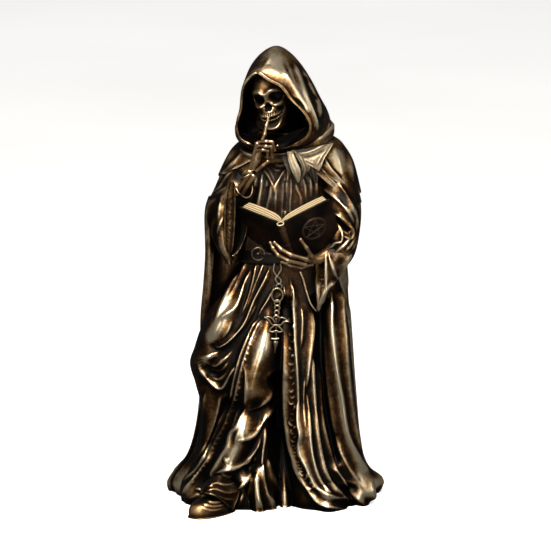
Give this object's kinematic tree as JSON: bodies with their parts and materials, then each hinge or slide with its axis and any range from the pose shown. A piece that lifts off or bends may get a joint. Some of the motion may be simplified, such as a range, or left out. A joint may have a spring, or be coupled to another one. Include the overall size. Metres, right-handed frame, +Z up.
{
  "type": "grim reaper figurine",
  "caption": "Standing hooded skeleton figurine in robe and cloak, one finger raised to its teeth, holding an open book.",
  "frame": {"origin": "centre of the figure's bounding box on the plane it stands on", "axes": "+Z up through the hood, -Y out of the face towards the viewer, +X to the viewer's right"},
  "size_m": [0.1396, 0.1184, 0.3002],
  "materials": {
    "aged_bronze": "antique bronze patina, rubbed bright on the crests and near black in the hollows"
  },
  "bodies": {
    "root": {"reaper_figure": "aged_bronze"}
  },
  "joints": []
}
